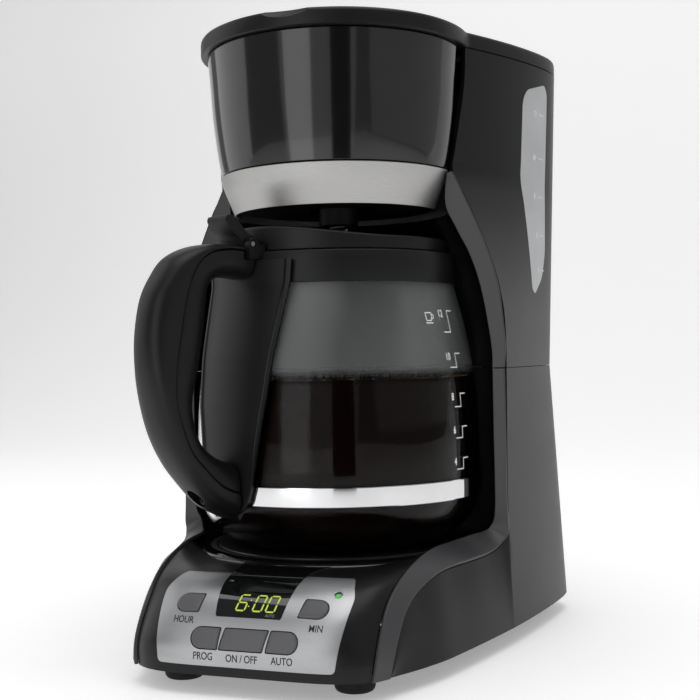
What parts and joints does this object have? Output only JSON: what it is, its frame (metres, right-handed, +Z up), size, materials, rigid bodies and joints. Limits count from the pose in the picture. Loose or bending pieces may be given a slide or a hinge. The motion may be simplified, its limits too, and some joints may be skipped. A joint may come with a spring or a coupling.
{
  "type": "drip coffee maker",
  "caption": "Programmable drip coffee maker: waisted housing with a brew cone, glass jug on a warming plate, tilting lid, lift-out filter basket and a push-button panel.",
  "frame": {"origin": "on the jug's vertical axis, at the height of the feet's undersides", "axes": "+Z up, -Y towards the user, +X to the user's right"},
  "size_m": [0.2124, 0.258, 0.3227],
  "materials": {
    "satin_black": "satin moulded polypropylene, fine spark-eroded grain",
    "piano_black": "high-gloss black ABS",
    "border_grey": "satin charcoal ABS",
    "inner_black": "plain moulded heat-resistant plastic",
    "plate_coating": "steel pressing with a dark non-stick coating",
    "brushed_steel": "stainless sheet brushed round the cone",
    "silver_panel": "silver fascia brushed across its width",
    "chrome": "polished stainless band",
    "jug_glass": "clear borosilicate glass",
    "smoked_window": "smoked glossy acrylic",
    "clear_window": "clear moulded plastic, lightly smoked",
    "button_grey": "satin grey moulded key caps",
    "rubber_black": "moulded rubber",
    "silicone": "translucent white silicone",
    "cast_aluminium": "as-cast aluminium",
    "plated_steel": "zinc-plated steel",
    "tank_plastic": "translucent moulded polypropylene",
    "circuit_board": "glass-fibre board with green solder mask",
    "lamp_green": "moulded green lens"
  },
  "bodies": {
    "root": {"bay_frame_lower": "border_grey", "base_housing": "satin_black", "bay_frame_upper": "border_grey", "column_housing": "satin_black", "water_window": "clear_window", "brew_cone_shell": "piano_black", "cone_steel_band": "brushed_steel", "brew_housing": "inner_black", "top_rim": "satin_black", "lid_hinge_pin": "plated_steel", "reservoir_tank": "tank_plastic", "heater_element": "cast_aluminium", "heater_clip": "plated_steel", "thermostat": "inner_black", "thermal_fuse": "silicone", "cold_water_hose": "silicone", "check_valve": "inner_black", "hot_water_riser": "silicone", "warming_plate": "plate_coating", "plate_seal": "rubber_black", "base_plate": "inner_black", "foot_1": "rubber_black", "foot_2": "rubber_black", "foot_3": "rubber_black", "foot_4": "rubber_black", "base_screw_1": "plated_steel", "base_screw_2": "plated_steel", "base_screw_3": "plated_steel", "base_screw_4": "plated_steel", "cord_gland": "rubber_black", "power_board": "circuit_board", "control_panel": "silver_panel", "display_window": "smoked_window", "control_board": "circuit_board", "display_module": "smoked_window", "lamp_lens": "lamp_green"},
    "lid": {"lid": "satin_black", "shower_plate": "inner_black"},
    "basket": {"brew_basket": "inner_black", "valve_spring": "plated_steel"},
    "valve": {"valve_plunger": "inner_black"},
    "carafe": {"carafe_glass": "jug_glass", "carafe_collar": "satin_black", "carafe_lid_pin": "plated_steel", "carafe_band": "chrome", "handle_shield": "satin_black", "handle_shell": "satin_black", "handle_insert": "satin_black", "band_screw": "plated_steel"},
    "carafe_lid": {"carafe_lid": "satin_black"},
    "program_button": {"button_program": "button_grey"},
    "power_button": {"button_power": "button_grey"},
    "auto_button": {"button_auto": "button_grey"},
    "hour_button": {"button_hour": "button_grey"},
    "minute_button": {"button_minute": "button_grey"}
  },
  "joints": [
    {"name": "lid_hinge", "type": "hinge", "parent": "root", "child": "lid", "pos_m": [0, 0.122, 0.3186], "axis": [-1, 0, 0], "range_deg": [0, 100]},
    {"name": "basket_lift", "type": "slide", "parent": "root", "child": "basket", "axis": [0, 0, 1], "range_m": [0, 0.085]},
    {"name": "drip_valve", "type": "slide", "parent": "basket", "child": "valve", "axis": [0, 0, 1], "range_m": [0, 0.003], "stiffness_N_per_m": 300, "springref_m": -0.003, "deforming": ["valve_spring"]},
    {"name": "carafe_slide", "type": "slide", "parent": "root", "child": "carafe", "axis": [0, -1, 0], "range_m": [0, 0.26]},
    {"name": "carafe_lid_hinge", "type": "hinge", "parent": "carafe", "child": "carafe_lid", "pos_m": [-0.02941, -0.06308, 0.2076], "axis": [0.9063, -0.4226, 0], "range_deg": [0, 4]},
    {"name": "program_press", "type": "slide", "parent": "root", "child": "program_button", "axis": [0, 0.9511, -0.309], "range_m": [0, 0.001], "stiffness_N_per_m": 500, "springref_m": -0.0004},
    {"name": "power_press", "type": "slide", "parent": "root", "child": "power_button", "axis": [0, 0.9511, -0.309], "range_m": [0, 0.001], "stiffness_N_per_m": 500, "springref_m": -0.0004},
    {"name": "auto_press", "type": "slide", "parent": "root", "child": "auto_button", "axis": [0, 0.9511, -0.309], "range_m": [0, 0.001], "stiffness_N_per_m": 500, "springref_m": -0.0004},
    {"name": "hour_press", "type": "slide", "parent": "root", "child": "hour_button", "axis": [0, 0.6947, -0.7193], "range_m": [0, 0.001], "stiffness_N_per_m": 500, "springref_m": -0.0004},
    {"name": "minute_press", "type": "slide", "parent": "root", "child": "minute_button", "axis": [0, 0.6947, -0.7193], "range_m": [0, 0.001], "stiffness_N_per_m": 500, "springref_m": -0.0004}
  ],
  "couplings": [
    {"joint": "basket_lift", "follows": "lid_hinge", "m_per_rad": 0.0485}
  ]
}
